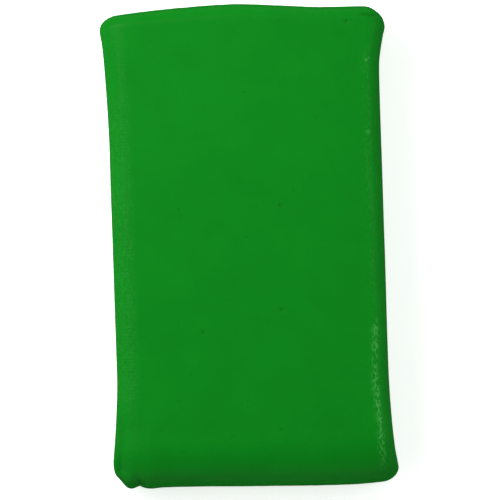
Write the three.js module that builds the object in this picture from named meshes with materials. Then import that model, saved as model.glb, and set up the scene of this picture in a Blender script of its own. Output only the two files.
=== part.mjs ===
// A block of soft modelling compound.
//
// It is one solid lump. A bar is extruded with rounded long edges, cut to length and pressed flat, which
// leaves it wider and a little thicker at its ends than at its waist. Its bottom end is rolled back to the
// middle of its thickness, and its left corners are pushed in, the bottom one further.
//
// Units are millimetres. The block lies on its flat back, with the origin in the middle of its underside:
// +X runs to the right across the width, +Y up the length and +Z through the thickness to the front face.

import * as THREE from 'three';
import { mergeVertices } from 'three/addons/utils/BufferGeometryUtils.js';

// Driving dimensions.
const LENGTH = 142.8; // over the crowns of both ends
const WAIST_WIDTH = 80;
const THICKNESS = 30; // at the ends
const WAIST_DISH = 0.6; // how far the front face lies below its ends
const EDGE_RADIUS = 4.6;

// How far each long side stands out past the waist, at points up the length.
const LEFT_FLARE = new THREE.CubicInterpolant(
  [-71, -64, -58, -49, -37, 29, 44, 56, 62, 66],
  [2.0, 2.0, 1.4, 0.6, 0.0, 0.0, 0.35, 0.9, 1.4, 2.0],
  1,
);
const RIGHT_FLARE = new THREE.CubicInterpolant(
  [-71, -67, -61, -52, -38, 47, 54, 61, 65, 68, 71],
  [1.9, 2.0, 1.2, 0.5, 0.0, 0.0, 0.2, 1.2, 1.9, 1.9, 1.5],
  1,
);

// How far each end falls back from the full length, at points across the width.
const BOTTOM_FALL = new THREE.CubicInterpolant(
  [-42, -20, 0, 24, 33, 42],
  [1.0, 0.9, 0.4, 0.0, 0.3, 1.3],
  1,
);
const TOP_FALL = new THREE.CubicInterpolant(
  [-42, -34, -20, -3, 12, 22, 32, 42],
  [2.6, 1.95, 0.82, 0.0, 0.95, 1.65, 1.85, 3.3],
  1,
);

// The bottom end turns back from the front face in a quarter of a slightly squared circle. Power 2 would be
// a true circle.
const ROLL_RADIUS = 15;
const ROLL_POWER = 2.2;

// How far each corner is pushed in (or drawn out, below 0) and how far from the corner that reaches.
const CORNERS = [
  { side: -1, end: -1, depth: 1.9, reach: 5 },
  { side: -1, end: 1, depth: 0.5, reach: 7 },
  { side: 1, end: 1, depth: -0.25, reach: 4 },
  { side: 1, end: -1, depth: -0.3, reach: 4 },
];

// Grid lines: steps along each flat, which crowd towards its ends, and steps from a flat to the middle of
// a rounded edge.
const FLAT_STEPS = new THREE.Vector3(12, 28, 4);
const CROWDING = 0.3;
const ARC_STEPS = 3;

const HALF = new THREE.Vector3(WAIST_WIDTH / 2, LENGTH / 2, THICKNESS / 2);
const CORE = HALF.clone().subScalar(EDGE_RADIUS);

// A bell curve: 1 at 0, 0.37 at 1.
const bell = (t) => Math.exp(-t * t);

// Where grid line number i of an axis lies on the square-edged block: steps along the flat, then steps of
// equal angle as far as the middle of each rounded edge.
function gridLine(i, core, flatSteps) {
  const last = flatSteps + 2 * ARC_STEPS;
  const fromEnd = Math.min(i, last - i);
  if (fromEnd >= ARC_STEPS) {
    const t = 2 * (i - ARC_STEPS) / flatSteps - 1;
    return core * t * (1 + CROWDING * (1 - t * t));
  }
  const angle = (1 - fromEnd / ARC_STEPS) * Math.PI / 4;
  const side = i < last / 2 ? -1 : 1;
  return side * (core + EDGE_RADIUS * Math.tan(angle));
}

// Moves a point of the square-edged block onto the rounded one, whose surface is one radius from its core.
function roundEdge(point) {
  const nearest = point.clone().clamp(CORE.clone().negate(), CORE);
  const outward = point.clone().sub(nearest).setLength(EDGE_RADIUS);
  point.copy(nearest.add(outward));
}

// How far the rolled end lies behind the front face, at a distance from the end's furthest point.
function rollAt(distance) {
  const along = THREE.MathUtils.clamp(1 - distance / ROLL_RADIUS, 0, 1);
  return ROLL_RADIUS * (1 - (1 - along ** ROLL_POWER) ** (1 / ROLL_POWER));
}

// Presses the rounded block into its real shape. The back is left flat.
function press(point) {
  const { x, y, z } = point;
  const endness = Math.abs(y) / HALF.y; // 0 at the waist, 1 at the ends
  const height = (z + HALF.z) / THICKNESS; // 0 at the back, 1 at the front

  const flare = Math.max(0, (x < 0 ? LEFT_FLARE : RIGHT_FLARE).evaluate(y)[0]);
  const fall = (y < 0 ? BOTTOM_FALL : TOP_FALL).evaluate(x)[0];
  const roll = rollAt(y + HALF.y);
  const dish = WAIST_DISH * (1 - endness ** 6);

  point.x = x * (1 + flare / HALF.x);
  point.y = y - Math.sign(y) * fall * endness ** 8;
  point.z = z + HALF.z - (dish + roll) * height ** 2;
  for (const { side, end, depth, reach } of CORNERS) {
    const push = depth * Math.SQRT1_2 * bell(Math.hypot(x - side * HALF.x, y - end * HALF.y) / reach);
    point.x -= side * push;
    point.y -= end * push;
  }
}

function makeBlock() {
  const lines = FLAT_STEPS.clone().addScalar(2 * ARC_STEPS);
  const box = new THREE.BoxGeometry(2, 2, 2, lines.x, lines.y, lines.z);
  box.deleteAttribute('normal');
  box.deleteAttribute('uv');
  const geometry = mergeVertices(box);
  const positions = geometry.attributes.position;
  const point = new THREE.Vector3();
  for (let n = 0; n < positions.count; n += 1) {
    point.fromBufferAttribute(positions, n);
    for (const axis of ['x', 'y', 'z']) {
      const i = Math.round((point[axis] + 1) / 2 * lines[axis]);
      point[axis] = gridLine(i, CORE[axis], FLAT_STEPS[axis]);
    }
    roundEdge(point);
    press(point);
    positions.setXYZ(n, point.x, point.y, point.z);
  }
  geometry.computeVertexNormals();
  return geometry;
}

function makeCompound() {
  return new THREE.MeshStandardMaterial({ color: 0x10831d, roughness: 0.5, metalness: 0 });
}

const compoundBlock = new THREE.Mesh(makeBlock(), makeCompound());
compoundBlock.name = 'compound_block';

const block = new THREE.Group();
block.add(compoundBlock);

export default block;
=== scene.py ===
"""A block of soft green modelling compound lying on its back, seen from straight above.

The block is one solid lump, so it is the only piece. Places are in metres in the frame of the CAD part:
+X to the right across the block, +Y up its length and +Z up from the back that it lies on.
"""

import math
import random

import bmesh
import bpy
import numpy as np
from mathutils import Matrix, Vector, noise


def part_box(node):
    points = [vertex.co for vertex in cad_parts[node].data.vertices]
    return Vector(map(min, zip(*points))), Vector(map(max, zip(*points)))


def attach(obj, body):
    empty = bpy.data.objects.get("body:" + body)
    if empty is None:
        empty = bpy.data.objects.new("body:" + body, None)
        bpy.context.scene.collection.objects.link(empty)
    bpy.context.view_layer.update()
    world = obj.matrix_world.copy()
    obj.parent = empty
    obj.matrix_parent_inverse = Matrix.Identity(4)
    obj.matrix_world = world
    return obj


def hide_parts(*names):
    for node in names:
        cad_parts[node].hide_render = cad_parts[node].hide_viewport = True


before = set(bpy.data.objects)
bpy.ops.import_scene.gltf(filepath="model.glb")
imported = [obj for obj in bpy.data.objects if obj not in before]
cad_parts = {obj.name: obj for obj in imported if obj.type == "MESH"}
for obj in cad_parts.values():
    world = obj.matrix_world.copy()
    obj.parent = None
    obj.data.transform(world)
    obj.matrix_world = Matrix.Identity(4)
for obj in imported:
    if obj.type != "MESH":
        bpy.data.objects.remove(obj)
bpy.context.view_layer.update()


# ---- The view ------------------------------------------------------------------------------------
# A long lens straight above the block, turned a little, so that the block leans to the left. The width
# of the view is measured at the level where the block is widest.

MM = 0.001
VIEW_WIDTH = 147.05 * MM
VIEW_MIDDLE = (0.36 * MM, -1.15 * MM)
VIEW_TURN = math.radians(-1.86)
WIDEST_LEVEL = 26 * MM
LENS = 600  # millimetres, like the sensor
SENSOR = 36

view_data = bpy.data.cameras.new("view")
view_data.lens = LENS
view_data.sensor_width = SENSOR
view = bpy.data.objects.new("view", view_data)
view.location = (*VIEW_MIDDLE, WIDEST_LEVEL + VIEW_WIDTH * LENS / SENSOR)
view.rotation_euler = (0, 0, VIEW_TURN)
bpy.context.scene.collection.objects.link(view)
bpy.context.scene.camera = view
bpy.context.scene.view_settings.view_transform = "Standard"


# ---- The floor -----------------------------------------------------------------------------------
# A round opal board, matt and almost white, lit a little from below so that shadows on it stay pale.

FLOOR_RADIUS = 0.7
FLOOR_CORNERS = 96
FLOOR_WHITE = 0.9
FLOOR_ROUGHNESS = 0.9
FLOOR_SHINE = 0.1
FLOOR_GLOW = 0.6

bpy.ops.mesh.primitive_circle_add(vertices=FLOOR_CORNERS, radius=FLOOR_RADIUS, fill_type="NGON")
floor = bpy.context.object
floor.name = "floor"
floor_paint = bpy.data.materials.new("floor_paint")
floor_paint.use_nodes = True
floor_surface = floor_paint.node_tree.nodes["Principled BSDF"]
floor_surface.inputs["Base Color"].default_value = (FLOOR_WHITE, FLOOR_WHITE, FLOOR_WHITE, 1)
floor_surface.inputs["Roughness"].default_value = FLOOR_ROUGHNESS
floor_surface.inputs["Specular IOR Level"].default_value = FLOOR_SHINE
floor_surface.inputs["Emission Color"].default_value = (1, 1, 1, 1)
floor_surface.inputs["Emission Strength"].default_value = FLOOR_GLOW
floor.data.materials.append(floor_paint)
floor.visible_glossy = False  # a cut-out floor: it lights the block but isn't mirrored in it


# ---- The light -----------------------------------------------------------------------------------
# Small soft boxes stand round the block, 54 degrees up, and the key one is at its upper left.
# None hangs straight above it, so its face doesn't shine.

BOX_DISTANCE = 0.5
BOX_SIZE = 0.2
BOX_HEIGHT = math.radians(54)


def soft_box(name, bearing, power):
    """A square lamp that faces the block, at a bearing in degrees from +X towards +Y."""
    lamp = bpy.data.lights.new(name, "AREA")
    lamp.shape = "SQUARE"
    lamp.size = BOX_SIZE
    lamp.energy = power
    box = bpy.data.objects.new(name, lamp)
    turn = math.radians(bearing)
    level = math.cos(BOX_HEIGHT)
    toward = Vector((math.cos(turn) * level, math.sin(turn) * level, math.sin(BOX_HEIGHT)))
    box.location = toward * BOX_DISTANCE
    box.rotation_euler = toward.to_track_quat("Z", "Y").to_euler()
    bpy.context.scene.collection.objects.link(box)


soft_box("key", 135, 2.25)
soft_box("left", 180, 0.40)
soft_box("lower_left", 225, 0.15)
soft_box("right", 0, 0.45)
soft_box("upper_right", 45, 0.14)
soft_box("upper", 90, 0.12)

# The walls of the room are pale from just below the horizon to 20 degrees up, and fade into a dark
# ceiling at 44. Each stop is the sine of a height and how bright the walls are there.
WALL_LIGHT = 0.8
WALL_STOPS = ((-0.16, 0), (-0.12, 1), (0.35, 1), (0.70, 0))

room = bpy.data.worlds.new("room")
room.use_nodes = True
nodes = room.node_tree.nodes
links = room.node_tree.links
direction = nodes.new("ShaderNodeTexCoord")
split = nodes.new("ShaderNodeSeparateXYZ")
from_down = nodes.new("ShaderNodeMapRange")
from_down.inputs["From Min"].default_value = -1
walls = nodes.new("ShaderNodeValToRGB")
stops = walls.color_ramp.elements
stops.new(0.5)
stops.new(0.5)
for stop, (height, light) in zip(stops, WALL_STOPS):
    stop.position = (height + 1) / 2
    stop.color = (light, light, light, 1)
links.new(direction.outputs["Generated"], split.inputs["Vector"])
links.new(split.outputs["Z"], from_down.inputs["Value"])
links.new(from_down.outputs["Result"], walls.inputs["Fac"])
links.new(walls.outputs["Color"], nodes["Background"].inputs["Color"])
nodes["Background"].inputs["Strength"].default_value = WALL_LIGHT
bpy.context.scene.world = room


# ---- The block of compound -----------------------------------------------------------------------
# One lump of soft, oil-bound modelling compound, green right through. It is extruded as a bar, cut to
# length with a wire and pressed between boards while it is warm. Its sizes here are in millimetres.

low_corner, high_corner = (Vector(corner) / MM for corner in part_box("compound_block"))
HALF_LENGTH = (high_corner.y - low_corner.y) / 2
THICKNESS = 30.0
HALF_WAIST = 40.0
WAIST_DISH = 0.25  # how far the middle of the front face lies below its ends
ROLL_RADIUS = 15.0  # the bottom end, turned back from the front face
ROLL_POWER = 2.2  # 2 would be a quarter circle
EDGE = 4.6  # the radius of the long edges and the corners

HALF = np.array([HALF_WAIST, HALF_LENGTH, THICKNESS / 2])
CORE = HALF - EDGE


def through(*points):
    """A smooth line through (place, height) points, level past its ends."""
    at, height = np.array(points, float).T
    slope = np.zeros(len(at))
    slope[1:-1] = (height[2:] - height[:-2]) / (at[2:] - at[:-2])

    def line(t):
        t = np.clip(t, at[0], at[-1])
        k = np.clip(np.searchsorted(at, t) - 1, 0, len(at) - 2)
        step = at[k + 1] - at[k]
        u = (t - at[k]) / step
        start = (1 + 2 * u) * (1 - u) ** 2 * height[k] + u * (1 - u) ** 2 * step * slope[k]
        end = (3 - 2 * u) * u**2 * height[k + 1] + (u - 1) * u**2 * step * slope[k + 1]
        return start + end

    return line


def bell(t):
    """1 at 0, 0.37 at 1 and nothing far away."""
    return np.exp(-np.square(t))


def ease(t):
    """0 up to 0, then a smooth rise to 1 at 1."""
    t = np.clip(t, 0, 1)
    return t * t * (3 - 2 * t)


def stretch(t, start, end, fade):
    """1 from start to end, with a smooth fade outside them."""
    return ease((t - start) / fade + 1) * ease((end - t) / fade + 1)


SEED_STEP = 17.3  # from one set of bumps to the next in the noise


def bumps(points, size, seed):
    """Smooth random bumps between -1 and 1, about size millimetres across along X, Y and Z."""
    shift = SEED_STEP * seed
    return np.array([noise.noise(Vector(point)) for point in points / size + shift])


# The block starts as a square-edged bar, whose skin is a grid with its lines closer over each edge.
GRID_STEP = 0.8
ARC_STEPS = 6


def grid_lines(core):
    """Places of the grid lines along one side of the bar."""
    flat = np.linspace(-core, core, round(2 * core / GRID_STEP) + 1)
    arc = core + EDGE * np.tan(np.linspace(0, math.pi / 4, ARC_STEPS + 1)[1:])
    return np.concatenate([-arc[::-1], flat, arc])


lines = [grid_lines(core) for core in CORE]
number = np.full([len(line) for line in lines], -1)
skin = np.ones(number.shape, bool)
skin[1:-1, 1:-1, 1:-1] = False
number[skin] = np.arange(skin.sum())
bar = np.stack([line[k] for line, k in zip(lines, np.nonzero(skin))], axis=1)
faces = []
for axis in range(3):
    for end in (0, -1):
        side = np.take(number, end, axis)
        quads = [side[:-1, :-1], side[1:, :-1], side[1:, 1:], side[:-1, 1:]]
        if (end == 0) != (axis == 1):
            quads.reverse()  # so that its faces point out
        faces.extend(np.stack(quads, axis=-1).reshape(-1, 4).tolist())
block_mesh = bpy.data.meshes.new("modelling_compound")
block_mesh.from_pydata(bar.tolist(), [], faces)

# Small open pits, where air was trapped: (across, along, radius, depth) on the front face.
FRONT_PITS = [
    (9.6, 11.7, 0.80, 0.10), (9.2, -19.0, 0.75, 0.09), (-14.1, -25.0, 0.65, 0.12),
    (29.5, 66.0, 0.55, 0.15), (-0.5, 2.6, 0.50, 0.05), (21.9, 0.4, 0.50, 0.04),
    (0.3, 45.1, 0.55, 0.05), (21.1, 37.4, 0.45, 0.04), (13.9, 16.0, 0.40, 0.04),
    (-6.1, -15.8, 0.45, 0.04), (4.9, -22.7, 0.45, 0.04), (-18.0, -36.7, 0.45, 0.04),
    (-1.7, -45.5, 0.55, 0.05), (-21.8, -44.9, 0.45, 0.04), (7.7, -54.4, 0.55, 0.05),
    (-6.2, -56.0, 0.60, 0.05), (-27.1, -53.5, 0.50, 0.04), (-20.2, -60.3, 0.55, 0.05),
]
# Specks of compound that stand up from the right shoulder: (across, along, radius, height).
SPECKS = [(36.1, 53.7, 0.55, 0.10), (36.9, 54.4, 0.30, 0.06), (36.3, 32.4, 0.60, 0.12)]

pit_places = [(across, along, HALF[2]) for across, along, _, _ in FRONT_PITS + SPECKS]
pit_sizes = [(radius, -depth) for _, _, radius, depth in FRONT_PITS]
pit_sizes += [(radius, height) for _, _, radius, height in SPECKS]

# More pits at random places, some on each face: (axis, side, count).
RANDOM_PITS = ((2, 1, 8), (2, -1, 24), (0, 1, 14), (0, -1, 14), (1, 1, 8), (1, -1, 8))
PIT_RADII = (0.22, 0.38)
PIT_STEEPNESS = (0.10, 0.25)  # depth over radius
PIT_SEED = 31

random.seed(PIT_SEED)
for axis, side, count in RANDOM_PITS:
    for _ in range(count):
        place = [random.uniform(-reach, reach) for reach in CORE]
        place[axis] = side * HALF[axis]
        pit_places.append(tuple(place))
        radius = random.uniform(*PIT_RADII)
        pit_sizes.append((radius, -random.uniform(*PIT_STEEPNESS) * radius))
pit_places = np.array(pit_places)

# The grid is halved three times round each pit and speck, less far out each time.
PATCHES = (2.0, 1.25, 0.8)
grid = bmesh.new()
grid.from_mesh(block_mesh)
for reach in PATCHES:
    grid.verts.ensure_lookup_table()
    places = np.array([vert.co for vert in grid.verts])
    near = np.zeros(len(places), bool)
    for place in pit_places:
        near |= np.abs(places - place).max(axis=1) < reach
    cut = [edge for edge in grid.edges if near[edge.verts[0].index] and near[edge.verts[1].index]]
    bmesh.ops.subdivide_edges(grid, edges=cut, cuts=1, use_grid_fill=True)
    grid.verts.index_update()
grid.to_mesh(block_mesh)
grid.free()


def read(mesh, what):
    """The places or the normals of a mesh's points."""
    values = np.empty(3 * len(mesh.vertices))
    mesh.vertices.foreach_get(what, values)
    return values.reshape(-1, 3)


# How far each long side stands out past the waist, at places up the length, and how far each end falls
# back from the full length, at places across the width.
left_flare = through(
    (-71, 2.0), (-64, 2.0), (-58, 1.4), (-49, 0.6), (-37, 0.0),
    (29, 0.0), (44, 0.35), (56, 0.9), (62, 1.4), (66, 2.0),
)
right_flare = through(
    (-71, 1.9), (-67, 2.0), (-61, 1.2), (-52, 0.5), (-38, 0.0),
    (47, 0.0), (54, 0.2), (61, 1.35), (64, 2.0), (66, 1.85), (71, 0.9),
)
bottom_fall = through((-42, 1.0), (-20, 0.9), (0, 0.4), (24, 0.0), (33, 0.3), (42, 1.3))
top_fall = through(
    (-42, 2.6), (-34, 1.95), (-20, 0.82), (-3, 0.0),
    (12, 0.95), (22, 1.65), (32, 1.8), (37, 1.95), (42, 2.7),
)

# The corners that are pushed in, or drawn out: (side, end, depth, reach).
CORNERS = [(-1, -1, 1.9, 5.0), (-1, 1, 0.5, 7.0), (1, 1, 0.1, 4.0), (1, -1, -0.3, 4.0)]


def outward_from(places):
    """The direction out of the rounded bar at places on the square-edged one."""
    out = places - np.clip(places, -CORE, CORE)
    return out / np.linalg.norm(out, axis=1)[:, None]


def pressed(points):
    """Where points of the rounded bar lie once it is pressed into shape."""
    x, y, z = points.T
    endness = np.abs(y) / HALF_LENGTH
    height = (z + THICKNESS / 2) / THICKNESS
    flare = np.maximum(0, np.where(x < 0, left_flare(y), right_flare(y)))
    fall = np.where(y < 0, bottom_fall(x), top_fall(x))
    push = np.zeros((len(x), 2))
    for side, end, depth, reach in CORNERS:
        distance = np.hypot(x - side * HALF_WAIST, y - end * HALF_LENGTH)
        push -= np.array([side, end]) * math.sqrt(0.5) * depth * bell(distance / reach)[:, None]
    along = np.clip(1 - (y + HALF_LENGTH) / ROLL_RADIUS, 0, 1)
    roll = ROLL_RADIUS * (1 - (1 - along**ROLL_POWER) ** (1 / ROLL_POWER))
    dish = WAIST_DISH * (1 - endness**6)
    return np.stack(
        [
            x * (1 + flare / HALF_WAIST) + push[:, 0],
            y - np.sign(y) * fall * endness**8 + push[:, 1],
            z + THICKNESS / 2 - (dish + roll) * height**2,
        ],
        axis=1,
    )


bar = read(block_mesh, "co")
out = outward_from(bar)
rounded = np.clip(bar, -CORE, CORE) + EDGE * out

# Which part of the skin each point is on, from the direction that it faces.
back = ease((-out[:, 2] - 0.2) / 0.6)
ends = ease((np.abs(out[:, 1]) - 0.3) / 0.5)
sides = ease((np.abs(out[:, 0]) - 0.3) / 0.5)

# How uneven it came from the die and the wire: where, how high the bumps are and how far across. The back
# has bumps half as high, and they only dip, because it was laid on a board.
UNEVENNESS = (
    (1, 0.06, (34, 34, 34)),
    (1, 0.02, (9, 9, 9)),
    (sides + ends, 0.05, (14, 14, 14)),
    (ends, 0.07, (2.2, 2.2, 22)),
    (sides, 0.08, (3, 70, 2.4)),
)
rise = np.zeros(len(rounded))
for seed, (where, height, size) in enumerate(UNEVENNESS, 1):
    rise += where * height * bumps(rounded, size, seed)
rise = np.where(back > 0.5, -np.abs(rise), rise) * (1 - 0.5 * back)
shape = pressed(rounded + rise[:, None] * out)
block_mesh.vertices.foreach_set("co", shape.ravel())
block_mesh.update()

# What handling has done to it since. The front face has soft furrows and ridges: (height, the axis that it
# runs along, its place on the other axis, half its width, start, end, fade).
FURROWS = (
    (-0.06, 0, -54.5, 3.0, -27, 26, 5),
    (0.07, 1, -30.3, 2.0, -66, -53, 4),
    (-0.03, 0, 53.4, 0.7, -21, -2, 3),
    (0.08, 0, 65.7, 0.8, 34.5, 39.0, 1.5),
)

x, y, z = shape.T
normal = read(block_mesh, "normal")
front = ease((normal[:, 2] - 0.3) / 0.4)
bottom_end = ease((-y - 62) / 6) * ease((-normal[:, 1] - 0.15) / 0.5)
press = np.zeros(len(shape))
for height, axis, place, width, first, last, fade in FURROWS:
    furrow = bell((shape[:, 1 - axis] - place) / width)
    press += height * furrow * stretch(shape[:, axis], first, last, fade)

# Its left edge droops, further at the bottom corner, and its top end is pressed in a little.
EDGE_DROOP = 0.25
CORNER_DROOP = 1.1
TOP_DENT = 0.22
press -= EDGE_DROOP * np.square(np.clip((-33.4 - x) / 3, 0, 1.5))
press -= CORNER_DROOP * np.square(np.clip((-29 - x) / 11, 0, 1)) * stretch(y, -66, -54, 7)
press -= TOP_DENT * bell((x - 17) / 7) * ease((y - 66.5) / 2.5)

# A crease crosses the top right corner, a little aslant.
CREASE_PLACE = (37, 66.9)
CREASE_SLOPE = -0.12
CREASE_WIDTH = 0.45
CREASE_DEPTH = 0.35
crease_line = CREASE_PLACE[1] + CREASE_SLOPE * (x - CREASE_PLACE[0])
crease = bell((y - crease_line) / CREASE_WIDTH) * stretch(x, 35.5, 39.0, 1.0) * front
press -= CREASE_DEPTH * crease
move = press * front

# The bottom left corner is folded into two lobes, (height, place across, half width), with a notch between.
LOBES = ((0.28, -31.2, 2.5), (0.90, -37.3, 2.0))
NOTCH_PLACE = -34.6
NOTCH_DEPTH = 0.80
NOTCH_WIDTH = 0.8
lobes = -NOTCH_DEPTH * np.exp(-np.abs(x - NOTCH_PLACE) / NOTCH_WIDTH) * ease((26 - z) / 5)
for height, place, width in LOBES:
    lobes += height * bell((x - place) / width)
move += lobes * bottom_end * ease((z - 2) / 8)

# Painted shade darkens the colour in the crease, in the notch and in the pits, and more in the deeper pits.
CREASE_SHADE = 1.3
NOTCH_SHADE = 1.2
NOTCH_SHADE_PLACE = -34.3
FULLY_SHADED_DEPTH = 0.12  # the depth of a pit that the painted shade darkens fully
notch = np.exp(-np.abs(x - NOTCH_SHADE_PLACE) / 0.7) * ease((-y - 66.5) / 1.5) * ease((z - 10) / 4)
painted_shade = CREASE_SHADE * crease + NOTCH_SHADE * notch
specks = np.zeros(len(shape))
pit_centres = pressed(np.clip(pit_places, -CORE, CORE) + EDGE * outward_from(pit_places))
for centre, (radius, height) in zip(pit_centres, pit_sizes):
    distance = np.linalg.norm(shape - centre, axis=1) / radius
    spot = np.exp(-distance**3)
    move += height * spot
    if height < 0:
        painted_shade += -height / FULLY_SHADED_DEPTH * spot
    else:
        specks += spot
shape += move[:, None] * normal
shape[:, 2] = np.maximum(shape[:, 2], 0)

block_mesh.vertices.foreach_set("co", (shape * MM).ravel())
block_mesh.update()
block_mesh.shade_smooth()
block = bpy.data.objects.new("modelling_compound", block_mesh)
bpy.context.scene.collection.objects.link(block)

# Where the finish differs: the long edges, which the die and the hands have roughened, the ripples on the
# left one, and the right one's rubbed line, hard along its lower part and faint above, which is waxier and
# gets a painted highlight. The others are the sides, the ends, the painted shade in the crease, the notch
# and the pits, and the specks, which also get a painted highlight.
EDGE_START = 32.5  # the place across where the long edges begin
RUB_PLACE = 36.1
RUB_WIDTH = 0.95
FAINT_RUB = 0.16

across, along = rounded[:, 0], rounded[:, 1]
edges = ease((np.abs(across) - EDGE_START) / 2.5)
ripples = edges * stretch(along, -42, 40, 8) * (across < 0)
rub_line = RUB_PLACE + 0.3 * np.sin(along / 5)
rubbed_and_glint = bell((across - rub_line) / RUB_WIDTH) * front
rubbed_and_glint *= stretch(along, -62, -27, 7) + FAINT_RUB * stretch(along, -16, 56, 4)
masks = {
    "edges": edges, "sides": sides, "ends": ends, "painted_shade": painted_shade, "specks": specks, "rubbed_and_glint": rubbed_and_glint,
    "ripples": ripples,
}
for name, values in masks.items():
    block_mesh.attributes.new(name, "FLOAT", "POINT").data.foreach_set("value", values)


class Shade:
    """One output of a material's nodes. Arithmetic on it adds Math nodes to the same material."""

    def __init__(self, tree, socket=None):
        self.tree = tree
        self.socket = socket

    def node(self, kind, settings=None, inputs=None, output=0):
        """Adds a node: its settings first, then the values or links of its sockets."""
        made = self.tree.nodes.new("ShaderNode" + kind)
        for name, value in (settings or {}).items():
            setattr(made, name, value)
        for name, value in (inputs or {}).items():
            if isinstance(value, Shade):
                self.tree.links.new(value.socket, made.inputs[name])
            else:
                made.inputs[name].default_value = value
        return Shade(self.tree, made.outputs[output])

    def math(self, operation, first, second):
        """Adds a Math node."""
        return self.node("Math", {"operation": operation}, {0: first, 1: second})

    def __add__(self, other):
        return self.math("ADD", self, other)

    __radd__ = __add__

    def __sub__(self, other):
        return self.math("SUBTRACT", self, other)

    def __rsub__(self, other):
        return self.math("SUBTRACT", other, self)

    def __mul__(self, other):
        return self.math("MULTIPLY", self, other)

    __rmul__ = __mul__


compound = bpy.data.materials.new("green_compound")
compound.use_nodes = True
tree = compound.node_tree
surface = tree.nodes["Principled BSDF"]
make = Shade(tree)
metres = make.node("TexCoord", output="Object")
position = make.node("VectorMath", {"operation": "SCALE"}, {0: metres, "Scale": 1 / MM})


def mask(name):
    """One of the mesh's masks, 0 to 1."""
    return make.node("Attribute", {"attribute_name": name}, output="Fac")


def grain(across, along, up, detail=2.0):
    """Noise from about -1 to 1, in grains of a size in millimetres along X, Y and Z."""
    squeezed = make.node("VectorMath", {"operation": "DIVIDE"}, {0: position, 1: (across, along, up)})
    return make.node("TexNoise", inputs={"Vector": squeezed, "Scale": 1.0, "Detail": detail}) * 4 - 2


def between(value, low, high):
    """0 where a value is low, 1 where it is high."""
    limits = {"Value": value, "From Min": low, "From Max": high}
    return make.node("MapRange", {"interpolation_type": "SMOOTHSTEP"}, limits)


# Its pigment is mixed a little unevenly, in clouds and in smaller spots. Painted shade darkens it in the
# crease, the notch and the pits. A painted highlight lightens it in fine pale flecks along the right edge's
# rubbed line and the left edge's ripples, and on the specks, where the wax coat also lies.
PIGMENT = (0.0030, 0.165, 0.0080)
PAINTED_HIGHLIGHT = (0.030, 0.26, 0.038)
CLOUDS = 0.032
SPOTS = 0.030
PAINTED_SHADE_DARKNESS = 0.19
SPECK_WAX_AND_HIGHLIGHT = 0.6
RIPPLE_WAX_AND_HIGHLIGHT = 0.12
fine = grain(0.9, 0.9, 0.9)
# Painted shade: the colour is darkened in the crease, the notch and the pits.
shade = 1 + CLOUDS * grain(24, 24, 24) + SPOTS * grain(7, 7, 7) - PAINTED_SHADE_DARKNESS * mask("painted_shade")
shade += fine * (0.008 + 0.020 * mask("edges"))
pigment = make.node("VectorMath", {"operation": "SCALE"}, {0: PIGMENT, "Scale": shade})
flecks = between(grain(0.6, 1.3, 0.6, 3.0), -0.2, 0.6)
# Painted highlight: this mask lightens the colour on the right edge's rubbed line, the specks and the left
# edge's ripples, and it also sets the wax coat.
wax_and_painted_highlight = mask("rubbed_and_glint") * flecks + SPECK_WAX_AND_HIGHLIGHT * mask("specks") + RIPPLE_WAX_AND_HIGHLIGHT * flecks * mask("ripples")
colour = make.node(
    "Mix", {"data_type": "RGBA", "clamp_factor": True}, {"Factor": wax_and_painted_highlight, 6: pigment, 7: (*PAINTED_HIGHLIGHT, 1)}, output=2
)
tree.links.new(colour.socket, surface.inputs["Base Color"])

# It is oily enough to shine faintly, most where the wax is and least on the ripples.
ROUGHNESS = 0.36
ROUGHER_RIPPLES = 0.12
WAX_COAT = 0.25
WAX_ROUGHNESS = 0.3
SHINE = 0.03
roughness = ROUGHNESS + 0.02 * grain(5, 5, 5) + ROUGHER_RIPPLES * mask("ripples")
tree.links.new(roughness.socket, surface.inputs["Roughness"])
tree.links.new((WAX_COAT * wax_and_painted_highlight).socket, surface.inputs["Coat Weight"])
surface.inputs["Coat Roughness"].default_value = WAX_ROUGHNESS
surface.inputs["Specular IOR Level"].default_value = SHINE

# Its skin, in millimetres of height: leathery all over and more so on the long edges, with ripples across
# the left one, lines that the die left along the sides, and lines that the wire left down the ends.
LEATHER = 0.004
EDGE_LEATHER = 0.030
RIPPLE_LENGTH = 1.06
RIPPLE_HEIGHT = 0.016
DIE_LINES = 0.030
WIRE_LINES = 0.050
CUT_GRAIN = 0.020
way_along = make.node("SeparateXYZ", inputs={0: position}, output="Y") + 0.35 * grain(5, 5, 5)
waves = make.math("SINE", way_along * (2 * math.pi / RIPPLE_LENGTH), 0.0)
waves *= between(grain(4, 6, 4), -0.6, 0.6)
skin_height = fine * (LEATHER + EDGE_LEATHER * mask("edges")) + RIPPLE_HEIGHT * waves * mask("ripples")
skin_height += DIE_LINES * grain(1.6, 60, 0.9) * mask("sides")
skin_height += WIRE_LINES * grain(1.1, 1.1, 18) * mask("ends")
skin_height += CUT_GRAIN * grain(2.5, 2.5, 2.5) * (mask("sides") + mask("ends"))
bump = make.node("Bump", inputs={"Height": skin_height, "Distance": MM})
tree.links.new(bump.socket, surface.inputs["Normal"])
block_mesh.materials.append(compound)

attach(block, "root")
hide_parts("compound_block")
